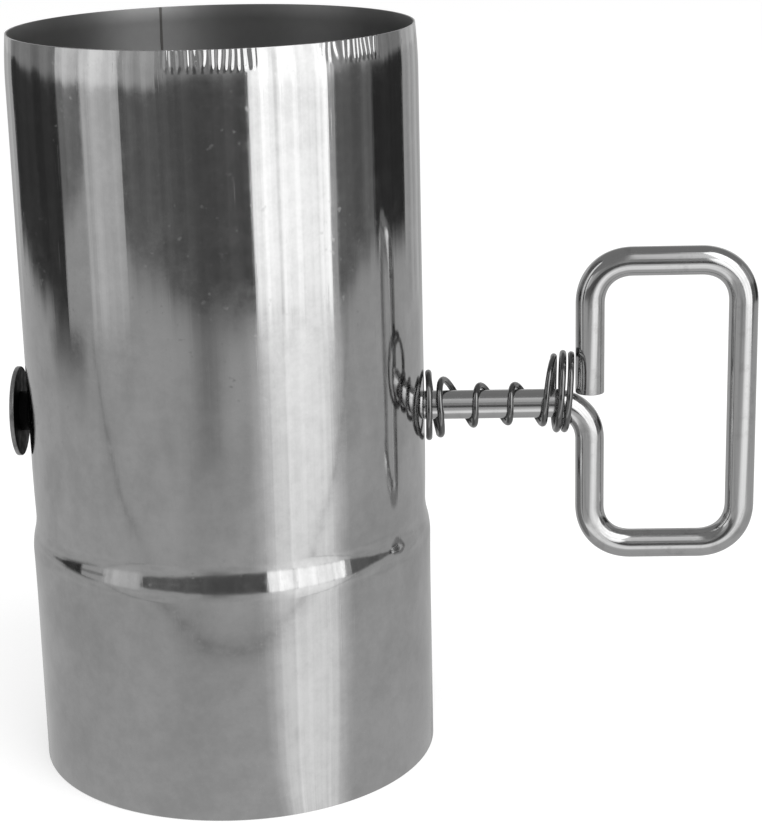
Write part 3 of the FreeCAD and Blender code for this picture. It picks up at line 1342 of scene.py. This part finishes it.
@dataclass(frozen=True)
class FloorMat:
    """The floor as the bright metal reflects it: a cloudy grey mat that is dark inside the pipe.

    A streaked bright path runs out between two directions from its apex. A dim strip lies in front, and the
    far left is in shade: its direction, half width and soft edge are degrees. A thin dark line with a soft
    halo crosses in front, each with its half width and soft edge.
    """

    radius: float = 0.8
    drop: float = 0.05 * MM
    sides: int = 96
    level: float = 0.5
    cloud_levels: Span = (0.93, 1.09)
    shaded_inside_level: float = 0.03
    inside_fade: float = 2.0 * MM
    path_apex: Vector = field(default_factory=lambda: Vector((0.011, -0.039, 0.0)))
    path_start: Span = (math.radians(14.0), math.radians(42.0))
    path_end: Span = (math.radians(58.0), math.radians(80.0))
    path_reach: Span = (0.1, 0.45)
    path_levels: Span = (1.15, 1.38)
    path_streak_levels: Span = (0.88, 1.12)
    strip_middle: float = -0.03
    strip_half: float = 0.06
    strip_reach: Span = (-0.55, -0.2)
    strip_shade: float = 0.45
    left_side: Band = (-88.0, 14.0, 14.0)
    left_reach: Span = (0.42, 0.57)
    left_shade: float = 0.7
    line_y: float = -0.171
    line_slope: float = 0.06
    line_width: Span = (3.0 * MM, 4.0 * MM)
    line_shade: float = 0.35
    halo_width: Span = (12.0 * MM, 24.0 * MM)
    halo_shade: float = 0.1
    clouds: Grain = Grain(9.0, low=0.3, high=0.7)
    path_streaks: Grain = Grain(16.0, detail=2.0, low=0.3, high=0.7)

    def build(self) -> None:
        """Lay the mat."""
        bm = bmesh.new()
        bmesh.ops.create_circle(bm, cap_ends=True, segments=self.sides, radius=self.radius,
                                matrix=Matrix.Translation((0, 0, -self.drop)))
        graph = GlowGraph("floor_mat")
        away = graph.math("SQRT", graph.plus(graph.times(graph.x, graph.x), graph.times(graph.y, graph.y)))
        cloudy = graph.marks(self.clouds, *(share * self.level for share in self.cloud_levels))
        mat_level = graph.times(graph.minus(1.0, self.shade(graph, away)), cloudy)

        angle = graph.front_angle(self.path_apex)
        path = graph.times(graph.ramp(angle, *self.path_start), graph.ramp(angle, *self.path_end, 1.0, 0.0))
        streaks = graph.marks(self.path_streaks, *self.path_streak_levels, graph.join(angle, 0.0, 0.0))
        path_level = graph.times(streaks, graph.ramp(away, *self.path_reach, *self.path_levels))

        glow = graph.times(graph.blend(path, mat_level, path_level), graph.minus(1.0, self.line(graph)))
        shade_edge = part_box("pipe_body")[1].y
        inner_edge = shade_edge - self.inside_fade
        graph.set_shader(Strength=graph.ramp(away, inner_edge, shade_edge, self.shaded_inside_level, glow))
        stage_reflection(bm, graph)

    def shade(self, graph: GlowGraph, away: Socket) -> Socket:
        """The shade of the strip in front and of the far left.

        Args:
            graph: The mat's node tree.
            away: The distance from the pipe's axis.

        Returns:
            The shade, from 0 to 1.
        """
        strip = graph.band(graph.x, self.strip_middle, self.strip_half, 2 * self.strip_half)
        strip = graph.times(strip, graph.ramp(graph.y, *self.strip_reach, self.strip_shade, 0.0))
        left = graph.band(graph.front_angle(), *map(math.radians, self.left_side))
        left = graph.times(left, graph.ramp(away, *self.left_reach, 0.0, self.left_shade))
        return graph.math("MAXIMUM", strip, left)

    def line(self, graph: GlowGraph) -> Socket:
        """The shade of the dark line in front and of its halo.

        Args:
            graph: The mat's node tree.

        Returns:
            The shade, from 0 to 1.
        """
        slanted = graph.minus(graph.y, graph.times(graph.x, self.line_slope))
        line = graph.times(graph.band(slanted, self.line_y, *self.line_width), self.line_shade)
        halo = graph.times(graph.band(slanted, self.line_y, *self.halo_width), self.halo_shade)
        return graph.plus(line, halo)


@dataclass(frozen=True)
class Ceiling:
    """The ceiling as the bright metal reflects it: grey, paler in front, with the window running up into it.

    A side is a direction, a half width and a soft edge in degrees. Heights are shares of the radius.
    """

    radius: float = 3.0
    subdivisions: int = 4
    level: float = 0.26
    front_level: float = 0.95
    front_side: Band = (38.0, 32.0, 25.0)
    front_height: Band = (0.62, 0.27, 0.12)
    window_level: float = 2.4
    window_side: Band = (47.0, 22.0, 8.0)
    window_top: Span = (0.9, 0.97)

    def build(self) -> None:
        """Put the ceiling up."""
        bm = bmesh.new()
        bmesh.ops.create_icosphere(bm, subdivisions=self.subdivisions, radius=self.radius)
        graph = GlowGraph("ceiling")
        around = graph.front_angle()
        height = graph.math("DIVIDE", graph.z, self.radius)
        front = graph.band(around, *map(math.radians, self.front_side))
        front = graph.times(front, graph.band(height, *self.front_height))
        window = graph.band(around, *map(math.radians, self.window_side))
        window = graph.times(window, graph.ramp(height, *self.window_top, 1.0, 0.0))
        glow = graph.ramp(front, 0.0, 1.0, self.level, self.front_level)
        graph.set_shader(Strength=graph.ramp(window, 0.0, 1.0, glow, self.window_level))
        stage_reflection(bm, graph)


@dataclass(frozen=True)
class Studio:
    """The pale floor, the soft light, and the screen, mat and ceiling that the bright metal reflects."""

    floor_level: float = 0.6
    floor_glow: float = 0.5
    floor_half: float = 6.0
    floor_drop: float = 0.1 * MM
    sky_level: float = 0.8
    lamp_power: float = 9.0
    lamp_size: float = 1.0
    lamp_place: Vector = field(default_factory=lambda: Vector((0.45, -0.6, 1.25)))
    mat: FloorMat = field(default_factory=FloorMat)
    ceiling: Ceiling = field(default_factory=Ceiling)
    screen_distance: float = 0.58
    screen_top: float = 0.4
    cards: tuple[StudioCard, ...] = (
        StudioCard("far_left_card", -180.0, -134.0, 0.0, 0.0, 0.5, 0.6),
        StudioCard("left_flag", -134.0, -85.0, 0.036, -0.01, 0.05, 0.3),
        StudioCard("left_grey_card", -85.0, -68.0, 0.05, 0.08, 0.22, 0.8),
        StudioCard("left_light_card", -68.0, -44.0, 0.0, 0.0, 0.7, 1.1),
        StudioCard("front_left_flag", -44.0, -24.0, 0.036, 0.026, 0.16, 0.55, soft=0.012),
        StudioCard("front_middle_flag", -24.0, -6.0, 0.026, 0.0, 0.13, 0.36, split=0.18, soft=0.012),
        StudioCard("front_flag", -6.0, 23.5, 0.0, 0.004, 0.11, 0.32, split=0.185, soft=0.012),
        StudioCard("window_card", 23.5, 67.5, 0.0, 0.0, 1.7, 1.9, streaks=16.0),
        StudioCard("window_edge_card", 67.5, 71.0, 0.0, 0.0, 0.6, 1.0, streaks=16.0),
        StudioCard("right_grey_flag", 71.0, 99.0, 0.0, 0.045, 0.17, 0.45, split=0.175, soft=0.012),
        StudioCard("right_flag", 99.0, 130.0, 0.032, 0.032, 0.04, 0.3, split=0.165),
        StudioCard("far_right_card", 130.0, 180.0, 0.0, 0.0, 0.5, 0.6),
    )

    def build(self) -> None:
        """Set everything up."""
        self.build_floor()
        self.build_sky()
        self.build_lamp()
        self.mat.build()
        self.ceiling.build()
        for card in self.cards:
            card.build(self.screen_distance, self.screen_top, self.mat.level)

    def build_floor(self) -> None:
        """Lay the floor. It is white where it is seen directly, and it keeps the object's shadow."""
        bm = bmesh.new()
        bmesh.ops.create_grid(bm, x_segments=1, y_segments=1, size=self.floor_half,
                              matrix=Matrix.Translation((0, 0, -self.floor_drop)))
        floor = piece_from(bm, "floor")
        graph = NodeGraph("pale_floor")
        glow = graph.times(seen_directly(graph.tree), self.floor_glow)
        graph.set_shader(Base_Color=grey(self.floor_level), Roughness=1.0, Specular_IOR_Level=0.0,
                         Emission_Color=grey(1.0), Emission_Strength=glow)
        graph.material.cycles.emission_sampling = "NONE"
        floor.data.materials.append(graph.material)

    def build_sky(self) -> None:
        """Make the surroundings: white where they are seen directly, and a soft light on everything."""
        world = bpy.data.worlds.new("studio_sky")
        world.use_nodes = True
        tree = world.node_tree
        background = tree.nodes["Background"]
        background.inputs["Color"].default_value = grey(1.0)
        strength = tree.nodes.new("ShaderNodeMapRange")
        strength.inputs["To Min"].default_value = self.sky_level
        strength.inputs["To Max"].default_value = 1.0
        tree.links.new(seen_directly(tree), strength.inputs["Value"])
        tree.links.new(strength.outputs[0], background.inputs["Strength"])
        bpy.context.scene.world = world

    def build_lamp(self) -> None:
        """Hang one large soft lamp above the front right."""
        light = bpy.data.lights.new("soft_key", "AREA")
        light.shape = "DISK"
        light.size = self.lamp_size
        light.energy = self.lamp_power
        lamp = bpy.data.objects.new("soft_key", light)
        aim = (-self.lamp_place).to_track_quat("-Z", "Y").to_matrix().to_4x4()
        lamp.matrix_world = Matrix.Translation(self.lamp_place) @ aim
        lamp.visible_glossy = False
        bpy.context.scene.collection.objects.link(lamp)


@dataclass(frozen=True)
class PhotoCamera:
    """The photograph's view: where the camera stands round the pipe, and how it is turned from there."""

    azimuth: float = math.radians(6.08)
    distance: float = 590.2 * MM
    height: float = 268.7 * MM
    yaw: float = math.radians(-4.161)
    pitch: float = math.radians(16.315)
    roll: float = math.radians(-1.359)
    focal_pixels: float = 2190.7
    picture_height: float = 826.0
    sensor: float = 36.0
    clip: Span = (0.01, 50.0)

    def build(self) -> None:
        """Make the camera and use it for the scene."""
        data = bpy.data.cameras.new("photo_camera")
        data.sensor_width = self.sensor
        data.lens = self.focal_pixels * self.sensor / self.picture_height
        data.clip_start, data.clip_end = self.clip
        camera = bpy.data.objects.new("photo_camera", data)
        place = Vector((math.sin(self.azimuth) * self.distance, -math.cos(self.azimuth) * self.distance,
                        self.height))
        turned = Matrix.Rotation(self.azimuth + self.yaw, 4, "Z")
        tipped = Matrix.Rotation(math.pi / 2 - self.pitch, 4, "X")
        camera.matrix_world = Matrix.Translation(place) @ turned @ tipped @ Matrix.Rotation(self.roll, 4, "Z")
        bpy.context.scene.collection.objects.link(camera)
        bpy.context.scene.camera = camera


def main() -> None:
    """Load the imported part, build each sub-assembly in order, and set the studio and the camera up."""
    logging.basicConfig(level=logging.INFO, format="%(name)s: %(message)s")
    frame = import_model()
    joints = {joint["name"]: joint for joint in frame["joints"]}
    spindle_height = joints["turn"]["pos_m"][2]
    push_travel = -joints["push_in"]["range_m"][0]

    pipe = PipeBody.from_frame(frame["record"], spindle_height)
    pipe.dress(pipe.build())
    bar = SpindleBar.from_frame(spindle_height)
    bar.dress(bar.build())
    leg_face_x = bar.inner_leg_x - bar.bar_radius
    spring = HourglassSpring(pipe.pipe_radius, leg_face_x, bar.bar_radius, spindle_height, push_travel)
    spring.dress(spring.build())
    stop = EndStop(bar.bar_radius, spindle_height)
    stop.dress(stop.build())
    DamperPlate().dress(frame["nodes"])

    Studio().build()
    PhotoCamera().build()
    bpy.context.scene.view_settings.view_transform = "Standard"


if __name__ == "__main__":
    main()
